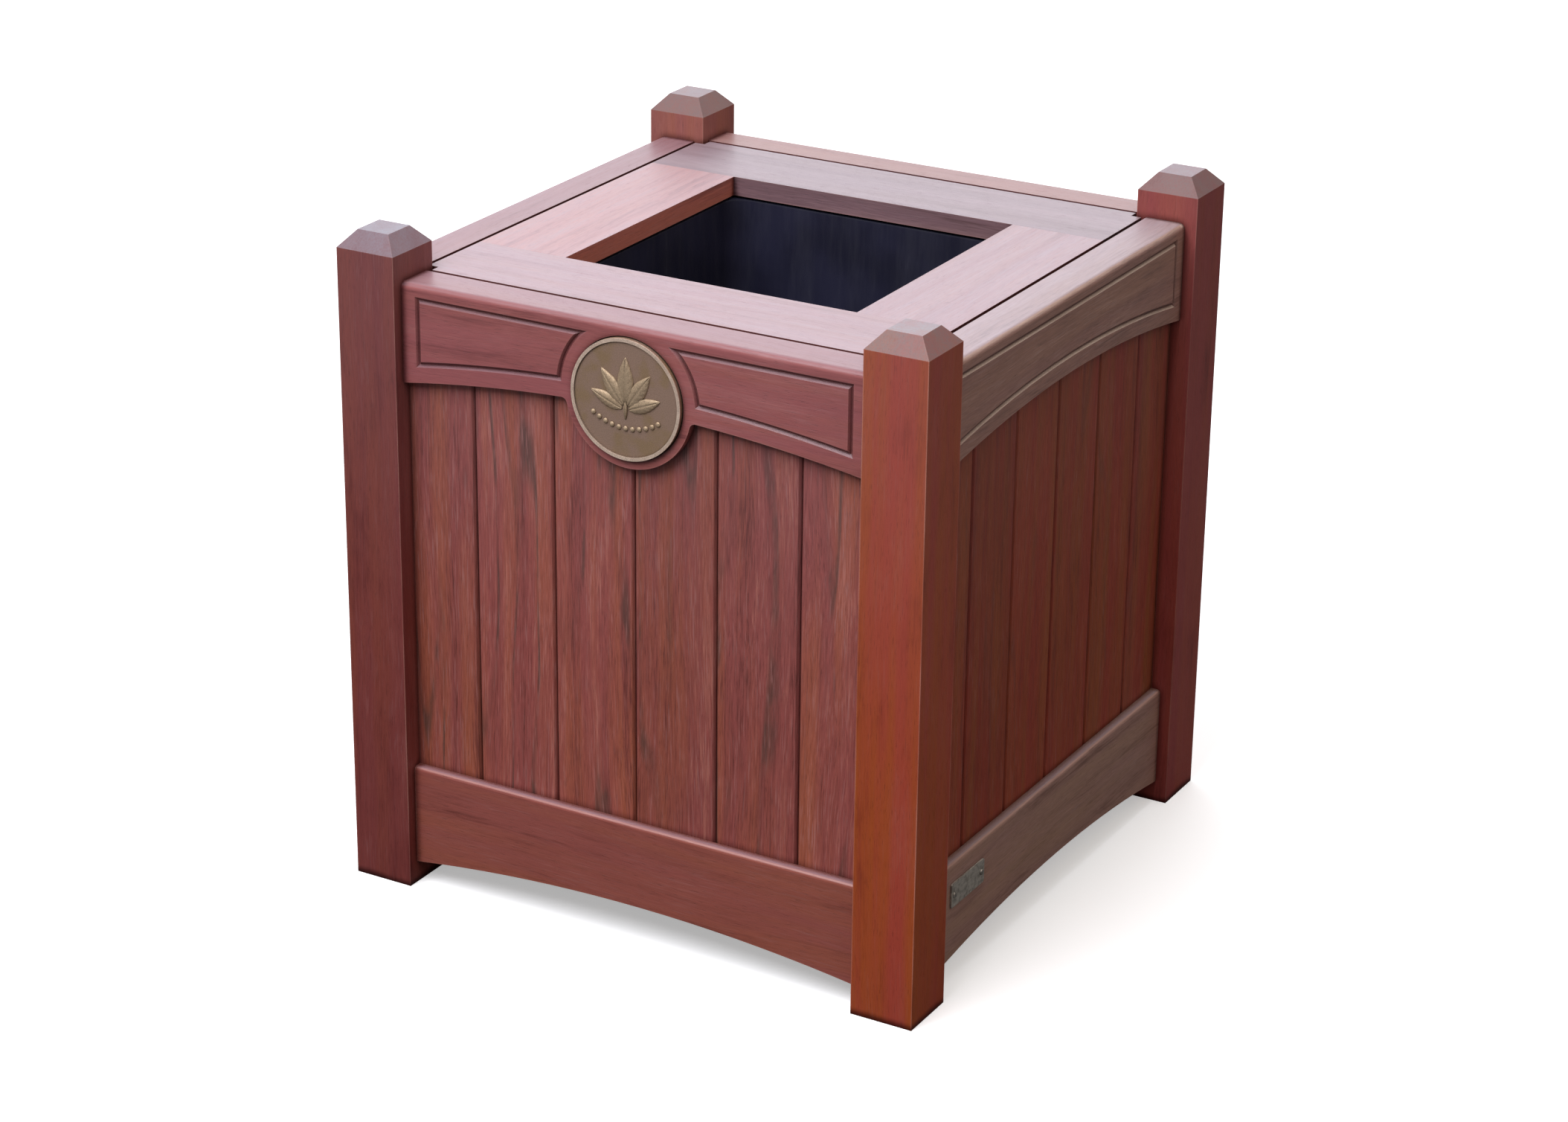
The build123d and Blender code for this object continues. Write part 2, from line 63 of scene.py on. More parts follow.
TARGET = Vector((0, 0, 0.33))
LIGHTS = (
    # name, azimuth, elevation, distance, size, power in watts, colour
    ("key", -12, 50, 3.6, 2.2, 105, (0.99, 1.0, 1.05)),
    ("overhead", 0, 88, 3.4, 3.0, 36, (0.97, 0.98, 1.0)),
    ("sky_behind", 208, 30, 3.6, 3.2, 58, (0.90, 0.94, 1.0)),
    ("right_fill", 80, 45, 3.6, 2.2, 17, (1.0, 0.78, 0.62)),
)

SHARP = math.radians(28)    # an edge that turns by more than this is eased
LOOSE_SEAM = 0.00002
EASE_STEPS = 2
EDGE_WIDTHS = {
    "post_": 0.0014,
    "apron_": 0.0010,
    "rail_": 0.0010,
    "board_": 0.0006,
    "lid_board_": 0.0018,
    "ledger_": 0.0012,
    "floor_cleat_": 0.0012,
    "floor_slat_": 0.0012,
    "medallion": 0.00025,
    "nameplate": 0.00025,
}

FIELD_DEPTH = 0.0014        # how far the medallion's field lies behind its rim

MASK_SAMPLES = 6            # of the masks for corners and joints

SEED = 9
rng = random.Random(SEED)


# ---------------------------------------------------------------- node helpers

def srgb(red, green, blue):
    """A linear colour with alpha, from the 0 to 255 values of a paint chart."""
    channels = [value / 255 for value in (red, green, blue)]
    linear = [v / 12.92 if v <= 0.04045 else ((v + 0.055) / 1.055) ** 2.4 for v in channels]
    return (*linear, 1.0)


def add(tree, kind, inputs=None, **settings):
    """Adds a node. inputs maps a socket to its value, or to the output that feeds it."""
    node = tree.nodes.new("ShaderNode" + kind)
    for name, value in settings.items():
        setattr(node, name, value)
    for key, value in (inputs or {}).items():
        if isinstance(value, bpy.types.NodeSocket):
            tree.links.new(value, node.inputs[key])
        else:
            node.inputs[key].default_value = value
    return node


def mix(tree, factor, first, second, blend="MIX"):
    node = add(tree, "Mix", {0: factor, 6: first, 7: second}, data_type="RGBA", blend_type=blend)
    return node.outputs[2]


def multiplied(tree, color, tint):
    return mix(tree, 1.0, color, tint, "MULTIPLY")


def math_node(tree, operation, first, second=0.0):
    return add(tree, "Math", {0: first, 1: second}, operation=operation).outputs[0]


def product(tree, first, *others):
    for other in others:
        first = math_node(tree, "MULTIPLY", first, other)
    return first


def total(tree, first, *others):
    for other in others:
        first = math_node(tree, "ADD", first, other)
    return first


def minus(tree, first, second):
    return math_node(tree, "SUBTRACT", first, second)


def vector_math(tree, operation, first, second):
    return add(tree, "VectorMath", {0: first, 1: second}, operation=operation).outputs


def ramp(tree, value, low, high, start=0.0, end=1.0):
    """A smooth step from start at low to end at high."""
    inputs = {"Value": value, "From Min": low, "From Max": high, "To Min": start, "To Max": end}
    return add(tree, "MapRange", inputs, interpolation_type="SMOOTHSTEP").outputs[0]


def stretched(tree, vector, across, along):
    """The coordinates scaled by across in X and Y, and by along in Z, the way of the grain."""
    return vector_math(tree, "MULTIPLY", vector, (across, across, along))[0]


def noise(tree, vector, detail=2.0, roughness=0.5, scale=1.0):
    inputs = {"Vector": vector, "Scale": scale, "Detail": detail, "Roughness": roughness}
    return add(tree, "TexNoise", inputs).outputs[0]


def bump(tree, height, strength, distance):
    inputs = {"Strength": strength, "Distance": distance, "Height": height}
    return add(tree, "Bump", inputs).outputs[0]


def own_place(tree):
    """Where a point is on the planter at rest, because every piece's own origin is the planter's."""
    return add(tree, "TexCoord").outputs["Object"]


def coordinate(tree, vector, axis):
    return add(tree, "SeparateXYZ", {0: vector}).outputs[axis]


def edge_mask(tree, radius, low=0.01, high=0.16):
    """1 on the corners of a piece and 0 on its faces, from how far a rounded normal leans."""
    rounded = add(tree, "Bevel", {"Radius": radius}, samples=MASK_SAMPLES).outputs[0]
    true = add(tree, "NewGeometry").outputs["True Normal"]
    along = vector_math(tree, "DOT_PRODUCT", rounded, true)["Value"]
    return ramp(tree, minus(tree, 1.0, along), low, high)


def openness(tree, reach):
    """1 on an open face, and less in a joint, groove or inside corner, where shade falls."""
    return add(tree, "AmbientOcclusion", {"Distance": reach}, samples=MASK_SAMPLES).outputs["AO"]


def upward(tree):
    """How far a face looks up, where dust and sun bleach the finish and a painted sheen lies: 1 on a
    level one.
    """
    return coordinate(tree, add(tree, "NewGeometry").outputs["Normal"], 2)


def new_material(name):
    made = bpy.data.materials.new(name)
    made.use_nodes = True
    tree = made.node_tree
    return made, tree, tree.nodes["Principled BSDF"]


def connect(tree, shader, **sockets):
    """Feeds the shader. A socket's name is given with _ for each space."""
    for name, output in sockets.items():
        tree.links.new(output, shader.inputs[name.replace("_", " ")])


def set_values(node, values):
    for name, value in values.items():
        node.inputs[name].default_value = value


def dress(piece, made):
    piece.data.materials.clear()
    piece.data.materials.append(made)


# ---------------------------------------------------------------- smooth steps and layers

STEPS = {
    # the value where a step begins and ends, and the result at each

    # hardwood
    "warm by tint": (0.34, 0.70, 0.0, 1.0),
    "dark to body": (-0.30, 0.0, 0.0, 1.0),
    "body to light": (0.0, 0.30, 0.0, 1.0),
    "pore": (0.62, 0.74, 0.0, 1.0),
    "fleck": (0.54, 0.72, 0.0, 1.0),
    "flecks by mottle": (0.35, 0.65, 0.25, 0.8),
    "heart line": (0.003, 0.028, 1.0, 0.0),
    "heart by mottle": (0.42, 0.60, 0.15, 1.0),
    "knot": (0.68, 0.78, 0.0, 1.0),
    "dark by hairs": (0.30, 0.55, 0.55, 1.0),
    "pale edge by mottle": (0.35, 0.6, 0.35, 1.0),
    "paler by height": (0.20, 0.68, 0.0, 0.10),
    "level": (0.80, 0.97, 0.0, 1.0),
    "sheen and bleach by hairs": (0.32, 0.68, 0.72, 1.0),
    "sheen and bleach by bands": (0.30, 0.62, 0.80, 1.0),
    "out of a groove": (0.90, 0.99, 0.0, 1.0),
    "slope in the open": (0.45, 0.75, 0.0, 1.0),
    "level in the open": (0.60, 0.90, 0.0, 1.0),
    "shade in a joint": (0.52, 0.96, 1.0, 0.0),
    "darker at the foot": (-0.006, 0.003, 0.8, 0.0),

    # plastic and metal
    "liner cloud": (0.3, 0.7, 0.0, 1.0),
    "liner scuff": (0.62, 0.74, 0.0, 0.25),
    "liner roughness": (0.35, 0.7, 0.42, 0.62),
    "bright by cloud": (0.35, 0.65, 0.7, 1.0),
    "patina": (0.44, 0.66, 0.0, 0.45),
    "cast pit": (0.35, 0.6, 0.45, 0.0),
    "cast crevice": (0.5, 0.92, 0.75, 0.0),
    "cast roughness": (0.3, 0.7, 0.38, 0.62),
    "dull spot": (0.4, 0.7, 0.0, 0.5),
    "brush line": (0.3, 0.7, 0.25, 0.0),

    # floor
    "floor cloud": (0.3, 0.7, 0.0, 1.0),
}


def step(tree, value, name):
    return ramp(tree, value, *STEPS[name])


def noises(tree, vector, table):
    """A noise for each row of a table: waves per metre across and along, detail, roughness."""
    return {name: noise(tree, stretched(tree, vector, across, along), detail, roughness)
            for name, (across, along, detail, roughness) in table.items()}


# ---------------------------------------------------------------- hardwood

GRAIN_TURN = ((0, -math.pi / 2, 0), (math.pi / 2, 0, 0), (0, 0, 0))
LOG_SIZE = 9.0              # each piece is cut from its own place, this far out at most
LEAN = 0.012                # radians by which a piece's grain may be off its length
TONE_LOW, TONE_HIGH = 0.93, 1.07

WOOD_IOR = 1.48
COAT, COAT_ROUGHNESS = 0.08, 0.32
SHEEN_LEVELS = {"post_": 0.18, "board_right_": 0.25, "": 0.35}

WOOD_SOCKETS = {
    "Dark": srgb(70, 30, 26),
    "Mid": srgb(125, 62, 50),
    "Warm": srgb(140, 80, 54),
    "Light": srgb(160, 88, 68),
    "Streak": srgb(80, 60, 52),
    "BleachSheen": srgb(169, 161, 175),    # on level faces: sun bleach and a painted sheen
    "Slope": srgb(140, 120, 122),       # on faces that lean: bleach, and a painted highlight on groove walls and rounded edges
    "Edge": srgb(186, 136, 122),        # on worn corners, partly a painted highlight along them
}
TONES = ("Dark", "Mid", "Warm", "Light")
WOOD_AMOUNTS = {
    "Bands": 0.5,
    "Mottle": 0.5,
    "Streaks": 0.5,
    "Fibres": 0.5,
    "BleachSheenAmount": 0.6,      # bleach and a painted sheen on level faces
    "SlopeBleachAndHighlights": 0.5,      # the same on faces that lean, partly a painted highlight
    "Caught": 0.0,      # how much of that is kept to the shelter of a groove
    "Shoulder": 0.25,   # how far up a face has to look for it to begin
    "Knots": 0.0,
    "WearAndHighlight": 0.4,
    # painted shade in joints, grooves and inside corners
    "JointShade": 0.7,
    "Rough": 0.45,
}
# The tint of the painted shade in joints and grooves, and of the darker foot.
DARKENING_TINT = (0.17, 0.09, 0.10, 1.0)

BENDS = (
    # waves per metre across and along the grain, their detail, and how far they push it sideways
    (7, 2.2, 2.0, 0.026),
    (12, 6, 1.0, 0.0045),
)
WOOD_LAYERS = {
    # waves per metre across and along the grain, then the noise's detail and roughness
    "bands": (70, 2.2, 3.0, 0.55),
    "tint": (44, 1.8, 2.0, 0.5),
    "mottle": (26, 9.0, 3.0, 0.6),
    "hairs": (600, 20.0, 3.0, 0.7),
    "fibres": (1300, 50.0, 2.0, 0.6),
    "pores": (1500, 90.0, 1.0, 0.5),
    "flecks": (700, 32.0, 1.0, 0.5),
    "heart": (22, 1.5, 1.0, 0.45),
    "knots": (30, 7.0, 2.0, 0.5),
}
HEART_MIDDLE = 0.56         # the heart layer's value along a streak
CONTRAST = 1.3              # of hairs and of fibres
PORE_SHADE = 0.22
FLECK_BLEACH = 0.2
PALE_EDGE_RADIUS = 0.0022
GROOVE_REACH = 0.008
SHOULDER_SPAN = 0.32
FOOT_RAGGED = -0.012        # how far the mottle moves the upper edge of the darker foot
HAIR_ROUGH, PORE_ROUGH, WORN_ROUGH = 0.35, 0.15, 0.1
FIBRE_RELIEF = 0.5
RELIEF_STRENGTH, RELIEF_DEPTH = 0.45, 0.00025


def from_middle(tree, layer, *amounts):
    """A layer as what it adds to the tone: 0 at the noise's middle value."""
    return product(tree, minus(tree, layer, 0.5), *amounts)


def bent(tree, vector):
    """The grain's coordinates, pushed sideways by slow waves and then by quicker ones."""
    for across, along, detail, push in BENDS:
        inputs = {"Vector": stretched(tree, vector, across, along), "Scale": 1.0, "Detail": detail}
        wave = add(tree, "TexNoise", inputs).outputs["Color"]
        shift = vector_math(tree, "MULTIPLY", wave, (push, push, 0.0))[0]
        vector = vector_math(tree, "ADD", vector, shift)[0]
    return vector


def grown_color(tree, given, layer, hair_part):
    """The wood's own colour, from its bands, mottle and hairs."""
    tone = total(tree, from_middle(tree, layer["bands"], given["Bands"]),
                 from_middle(tree, layer["mottle"], given["Mottle"]), hair_part)
    body = mix(tree, step(tree, layer["tint"], "warm by tint"), given["Mid"], given["Warm"])
    color = mix(tree, step(tree, tone, "dark to body"), given["Dark"], body)
    return mix(tree, step(tree, tone, "body to light"), color, given["Light"])


def streaked(tree, given, layer, color):
    """Adds dark heart lines and knots."""
    ring = math_node(tree, "ABSOLUTE", minus(tree, layer["heart"], HEART_MIDDLE))
    ring = product(tree, step(tree, ring, "heart line"), step(tree, layer["mottle"], "heart by mottle"),
                   given["Streaks"])
    knot = product(tree, step(tree, layer["knots"], "knot"), given["Knots"])
    dark = math_node(tree, "MAXIMUM", ring, knot)
    dark = product(tree, dark, step(tree, layer["hairs"], "dark by hairs"))
    return mix(tree, dark, color, given["Streak"])


def fibred(tree, given, layer, pores, color):
    """Adds the fine light and dark of the fibres, dark pores and pale flecks."""
    fine = from_middle(tree, layer["fibres"], given["Fibres"], CONTRAST)
    shade = minus(tree, total(tree, 1.0, fine), product(tree, pores, PORE_SHADE))
    grey = add(tree, "CombineColor", {0: shade, 1: shade, 2: shade}).outputs[0]
    color = multiplied(tree, color, grey)
    fleck = product(tree, step(tree, layer["flecks"], "fleck"), given["Fibres"],
                    step(tree, layer["mottle"], "flecks by mottle"))
    return mix(tree, fleck, color, mix(tree, FLECK_BLEACH, given["Light"], given["BleachSheen"]))


def bleach_and_painted_light(tree, given, layer, clear, height, color):
    """Paints the upper parts a little paler, as light from above, and paints faces that look up paler:
    sun bleach and a painted sheen on level faces, and a painted highlight on faces that lean.
    """
    # Paler towards the top: painted light falling from above.
    color = mix(tree, step(tree, height, "paler by height"), color, given["BleachSheen"])
    level = upward(tree)
    flat = step(tree, level, "level")
    steep_end = total(tree, given["Shoulder"], SHOULDER_SPAN)
    slope = minus(tree, ramp(tree, level, given["Shoulder"], steep_end), flat)
    patchy = product(tree, step(tree, layer["hairs"], "sheen and bleach by hairs"),
                     step(tree, layer["bands"], "sheen and bleach by bands"))
    caught = product(tree, step(tree, clear, "out of a groove"), given["Caught"])
    slope = product(tree, slope, minus(tree, given["SlopeBleachAndHighlights"], caught), patchy,
                    step(tree, clear, "slope in the open"))
    # A painted highlight, with some bleach, on faces that lean.
    color = mix(tree, slope, color, given["Slope"])
    # A painted sheen, with some sun bleach, on level faces.
    flat = product(tree, flat, given["BleachSheenAmount"], patchy, step(tree, clear, "level in the open"))
    return mix(tree, flat, color, given["BleachSheen"])


def joint_shade_and_dark_foot(tree, given, layer, clear, height, color):
    """Paints shade into joints, grooves and inside corners, and darkens the last few millimetres at the
    foot.
    """
    # Painted shade where the openness mask is low: joints, grooves, inside corners.
    joint_shade = product(tree, step(tree, clear, "shade in a joint"), given["JointShade"])
    color = mix(tree, joint_shade, color, multiplied(tree, color, DARKENING_TINT))
    ragged = total(tree, height, product(tree, layer["mottle"], FOOT_RAGGED))
    foot = step(tree, ragged, "darker at the foot")
    return mix(tree, foot, color, multiplied(tree, color, DARKENING_TINT))


def group_sockets(tree):
    face = tree.interface
    face.new_socket("Vector", in_out="INPUT", socket_type="NodeSocketVector")
    for name, value in WOOD_SOCKETS.items():
        face.new_socket(name, in_out="INPUT", socket_type="NodeSocketColor").default_value = value
    for name, value in WOOD_AMOUNTS.items():
        face.new_socket(name, in_out="INPUT", socket_type="NodeSocketFloat").default_value = value
    face.new_socket("Color", in_out="OUTPUT", socket_type="NodeSocketColor")
    face.new_socket("Roughness", in_out="OUTPUT", socket_type="NodeSocketFloat")
    face.new_socket("Normal", in_out="OUTPUT", socket_type="NodeSocketVector")


def hardwood_group():
    """Oiled red hardwood, with its grain along Z: colour, roughness and relief."""
    tree = bpy.data.node_groups.new("hardwood", "ShaderNodeTree")
    group_sockets(tree)
    given = tree.nodes.new("NodeGroupInput").outputs
    result = tree.nodes.new("NodeGroupOutput").inputs

    grain = bent(tree, given["Vector"])
    layer = noises(tree, grain, WOOD_LAYERS)
    hair_part = from_middle(tree, layer["hairs"], given["Fibres"], CONTRAST)
    pores = step(tree, layer["pores"], "pore")
    clear = openness(tree, GROOVE_REACH)
    height = coordinate(tree, own_place(tree), 2)

    color = grown_color(tree, given, layer, hair_part)
    color = streaked(tree, given, layer, color)
    color = fibred(tree, given, layer, pores, color)
    # Lighter corners: wear, and a painted highlight along the arrises.
    pale_edges = product(tree, edge_mask(tree, PALE_EDGE_RADIUS), given["WearAndHighlight"],
                   step(tree, layer["mottle"], "pale edge by mottle"))
    color = mix(tree, pale_edges, color, given["Edge"])
    color = bleach_and_painted_light(tree, given, layer, clear, height, color)
    color = joint_shade_and_dark_foot(tree, given, layer, clear, height, color)

    rough = total(tree, given["Rough"], product(tree, hair_part, HAIR_ROUGH),
                  product(tree, pores, PORE_ROUGH), product(tree, pale_edges, WORN_ROUGH))
    relief = minus(tree, product(tree, layer["fibres"], FIBRE_RELIEF), pores)
    relief = total(tree, relief, layer["hairs"])

    tree.links.new(color, result["Color"])
    tree.links.new(rough, result["Roughness"])
    tree.links.new(bump(tree, relief, RELIEF_STRENGTH, RELIEF_DEPTH), result["Normal"])
    return tree


HARDWOOD = hardwood_group()

WOODS = {
    # each key starts the names of its pieces, and a longer key only says what it changes
    "": {
        "Dark": srgb(94, 50, 38), "Mid": srgb(130, 78, 58), "Warm": srgb(136, 84, 60),
        "Light": srgb(158, 102, 78), "Bands": 0.80, "Mottle": 0.30, "Streaks": 0.25, "BleachSheenAmount": 0.10,
        "WearAndHighlight": 0.20, "Rough": 0.62,
    },
    # Its pale edge colour is partly a painted highlight along the arrises, and its bluish pale colour a
    # painted sheen on the caps.
    "post_": {
        "Dark": srgb(112, 38, 26), "Mid": srgb(167, 69, 53), "Warm": srgb(166, 79, 36),
        "Light": srgb(172, 88, 68), "BleachSheen": srgb(147, 152, 161), "Slope": srgb(124, 112, 112),
        "Edge": srgb(214, 150, 132), "Bands": 0.25, "Mottle": 0.55, "Streaks": 0.06, "Fibres": 0.20,
        "BleachSheenAmount": 0.85, "SlopeBleachAndHighlights": 0.85, "WearAndHighlight": 0.85, "Rough": 0.40,
    },
    # Darker and more purple than the other posts: painted shade.
    "post_front_left": {
        "Dark": srgb(88, 34, 32), "Mid": srgb(124, 59, 56), "Warm": srgb(130, 64, 54),
        "Light": srgb(146, 82, 76), "BleachSheen": srgb(147, 149, 162), "Slope": srgb(135, 126, 136),
        "Edge": srgb(186, 136, 122), "Bands": 0.35, "Streaks": 0.08, "Fibres": 0.28, "WearAndHighlight": 0.70,
    },
    "post_rear_left": {
        "Dark": srgb(112, 54, 48), "Mid": srgb(152, 86, 78), "Warm": srgb(156, 90, 72),
        "Light": srgb(168, 104, 92), "BleachSheen": srgb(143, 140, 148), "Edge": srgb(186, 136, 122),
        "Bands": 0.35, "Fibres": 0.25, "WearAndHighlight": 0.60,
    },
    "post_rear_right": {
        "Dark": srgb(100, 37, 34), "Mid": srgb(148, 65, 62), "Warm": srgb(152, 71, 58),
        "Light": srgb(160, 80, 70), "BleachSheen": srgb(143, 140, 148), "Edge": srgb(186, 136, 122),
        "Bands": 0.35, "Fibres": 0.25, "WearAndHighlight": 0.60,
    },
    "apron_": {
        "Dark": srgb(112, 50, 48), "Mid": srgb(157, 84, 84), "Warm": srgb(160, 88, 80),
        "Light": srgb(174, 106, 102), "BleachSheen": srgb(155, 144, 155), "Slope": srgb(156, 124, 132),
        "Bands": 0.60, "Mottle": 0.35, "Streaks": 0.06, "Fibres": 0.30, "BleachSheenAmount": 0.55, "SlopeBleachAndHighlights": 0.80,
        "Caught": 0.35, "Shoulder": 0.36, "WearAndHighlight": 0.50, "JointShade": 1.00, "Rough": 0.38,
    },
    "apron_rear": {
        "BleachSheen": srgb(157, 144, 142),
    },
    # Its cream colour for faces that lean is a painted highlight on the groove walls.
    "apron_right": {
        "Dark": srgb(112, 82, 70), "Mid": srgb(157, 116, 104), "Warm": srgb(161, 120, 101),
        "Light": srgb(181, 142, 126), "BleachSheen": srgb(181, 174, 188), "Slope": srgb(252, 234, 216),
        "Streaks": 0.10, "Fibres": 0.55, "BleachSheenAmount": 0.60, "SlopeBleachAndHighlights": 1.00, "Caught": 0.80, "Rough": 0.50,
    },
    # Its pale colour for faces that lean is a painted highlight along the rounded top edge.
    "rail_": {
        "Dark": srgb(104, 48, 40), "Mid": srgb(156, 84, 76), "Warm": srgb(160, 88, 72),
        "Light": srgb(168, 100, 88), "Slope": srgb(196, 146, 140), "Bands": 0.50, "Mottle": 0.35,
        "Streaks": 0.08, "Fibres": 0.28, "BleachSheenAmount": 0.50, "SlopeBleachAndHighlights": 0.90, "Shoulder": 0.44,
        "WearAndHighlight": 0.80, "Rough": 0.42,
    },
    # Its pale colour for faces that lean is a painted highlight along the rounded top edge.
    "rail_right": {
        "Dark": srgb(108, 76, 64), "Mid": srgb(161, 124, 114), "Warm": srgb(163, 128, 110),
        "Light": srgb(172, 134, 120), "Slope": srgb(200, 162, 150), "Bands": 0.60, "Streaks": 0.10,
        "Fibres": 0.50, "BleachSheenAmount": 0.60, "WearAndHighlight": 0.50, "Rough": 0.50,
    },
    "board_": {
        "Dark": srgb(108, 52, 46), "Mid": srgb(150, 77, 72), "Warm": srgb(160, 86, 64),
        "Light": srgb(180, 110, 96), "Bands": 0.60, "Mottle": 0.35, "Streaks": 0.80, "Fibres": 0.60,
        "BleachSheenAmount": 0.25, "Knots": 0.80, "WearAndHighlight": 0.50, "JointShade": 0.55, "Rough": 0.50,
    },
    # Darker and more saturated than the front boards: partly painted shade on this side.
    "board_right_": {
        "Dark": srgb(106, 42, 29), "Mid": srgb(151, 60, 42), "Warm": srgb(149, 77, 40),
        "Light": srgb(166, 82, 55), "Bands": 0.50, "Streaks": 0.30, "Fibres": 0.55, "Knots": 0.30,
        "WearAndHighlight": 0.25, "JointShade": 0.60, "Rough": 0.55,
    },
    "board_right_6": {
        "Dark": srgb(104, 46, 34), "Mid": srgb(148, 66, 52), "Warm": srgb(146, 82, 50),
    },
    # Its pale colour for level faces is partly a painted sheen on the lid's top, partly bleach.
    "lid_board_": {
        "Dark": srgb(126, 62, 52), "Mid": srgb(166, 92, 80), "Warm": srgb(170, 98, 76),
        "Light": srgb(182, 112, 98), "BleachSheen": srgb(168, 165, 181), "Streaks": 0.12, "Fibres": 0.42,
        "BleachSheenAmount": 0.60, "WearAndHighlight": 0.35, "JointShade": 1.00, "Rough": 0.36,
    },
    "lid_board_left": {
        "Dark": srgb(140, 66, 52), "Mid": srgb(200, 112, 92), "Warm": srgb(202, 114, 84),
        "Light": srgb(200, 122, 104), "BleachSheen": srgb(158, 153, 168), "Streaks": 0.10, "BleachSheenAmount": 0.66,
    },
    "lid_board_rear": {
        "Dark": srgb(92, 62, 62), "Mid": srgb(124, 92, 98), "Warm": srgb(128, 96, 95),
        "Light": srgb(152, 116, 120), "BleachSheen": srgb(166, 150, 160), "BleachSheenAmount": 0.66,
    },
}


def value_for(node, table):
    """The value whose key starts the node's name, or None. The longest such key wins."""
    keys = [key for key in table if node.startswith(key)]
    return table[max(keys, key=len)] if keys else None


def wood_values(node):
    """A piece's own wood: what every key that starts its name says, the longest key last."""
    values = {**WOOD_SOCKETS, **WOOD_AMOUNTS}
    for key in sorted(WOODS, key=len):
        if node.startswith(key):
            values.update(WOODS[key])
    return values


def grain_axis(node):
    low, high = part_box(node)
    sides = high - low
    return max(range(3), key=lambda axis: sides[axis])


def wood(node):
    """Oiled hardwood of one piece, cut from its own place in the log."""
    made, tree, shader = new_material(node + "_wood")
    brightness = rng.uniform(TONE_LOW, TONE_HIGH)
    offset = [rng.uniform(-LOG_SIZE, LOG_SIZE) for _ in range(3)]
    lean = [turn + rng.uniform(-LEAN, LEAN) for turn in GRAIN_TURN[grain_axis(node)]]
    placed = add(tree, "Mapping", {"Vector": own_place(tree), "Location": offset, "Rotation": lean})

    grain = tree.nodes.new("ShaderNodeGroup")
    grain.node_tree = HARDWOOD
    tree.links.new(placed.outputs[0], grain.inputs["Vector"])
    values = wood_values(node)
    for tone in TONES:
        values[tone] = [*(channel * brightness for channel in values[tone][:3]), 1.0]
    set_values(grain, values)

    connect(tree, shader, Base_Color=grain.outputs["Color"], Roughness=grain.outputs["Roughness"],
            Normal=grain.outputs["Normal"])
    set_values(shader, {
        "IOR": WOOD_IOR,
        "Specular IOR Level": value_for(node, SHEEN_LEVELS),
        "Coat Weight": COAT,
        "Coat Roughness": COAT_ROUGHNESS,
    })
    return made


# ---------------------------------------------------------------- plastic and metal

LINER_LAYERS = {
    # waves per metre across and up, then the noise's detail and roughness
    "scuffs": (60, 7, 4.0, 0.7),
    "pebbles": (1400, 1400, 2.0, 0.5),
    "clouds": (14, 14, 3.0, 0.5),
}
LINER_DARK = srgb(27, 27, 45)
LINER_PALE = srgb(38, 38, 59)
LINER_SCUFF = srgb(78, 80, 94)
LINER_EDGE = srgb(80, 82, 88)
LINER_EDGE_RADIUS, LINER_EDGE_WEAR = 0.003, 0.3
LINER_RELIEF = (0.25, 0.0002)       # strength and depth, as for the metals below

BRONZE_LAYERS = {
    "grains": (1500, 1500, 3.0, 0.65),
    "clouds": (90, 90, 4.0, 0.6),
    "stains": (42, 42, 3.0, 0.55),
}
PATINA = srgb(166, 138, 84)
CAST_PIT = srgb(58, 47, 36)
CAST_CREVICE = srgb(46, 36, 28)
CREVICE_REACH = 0.0025
POLISH = (0.0009, 0.005, 0.12)      # radius of a polished corner, and the step of its mask
BRIGHT_UNTIL, DULL_FROM = 0.4, 0.9  # parts of the way from the rim back to the field
CAST_METALLIC = 0.45
CAST_RELIEF = (0.55, 0.00035)

DULL_SPOT = srgb(84, 80, 72)
SPOTS_PER_METRE, SPOT_DETAIL = 260, 3.0
BRUSH_LINE = srgb(60, 60, 58)
BRUSH_STEP = (0.25, 0.75)
SMOOTHER, ROUGHER = 0.08, 0.15      # how far brush lines move the roughness, each way
BRUSH_RELIEF = (0.3, 0.00008)


def liner_plastic():
    """Black moulded plastic with a pebbled skin and pale scuffs."""
    made, tree, shader = new_material("liner_black")
    layer = noises(tree, own_place(tree), LINER_LAYERS)
    color = mix(tree, step(tree, layer["clouds"], "liner cloud"), LINER_DARK, LINER_PALE)
    color = mix(tree, step(tree, layer["scuffs"], "liner scuff"), color, LINER_SCUFF)
    pale_edges = product(tree, edge_mask(tree, LINER_EDGE_RADIUS), LINER_EDGE_WEAR)
    color = mix(tree, pale_edges, color, LINER_EDGE)
    connect(tree, shader, Base_Color=color, Roughness=step(tree, layer["scuffs"], "liner roughness"),
            Normal=bump(tree, layer["pebbles"], *LINER_RELIEF))
    return made


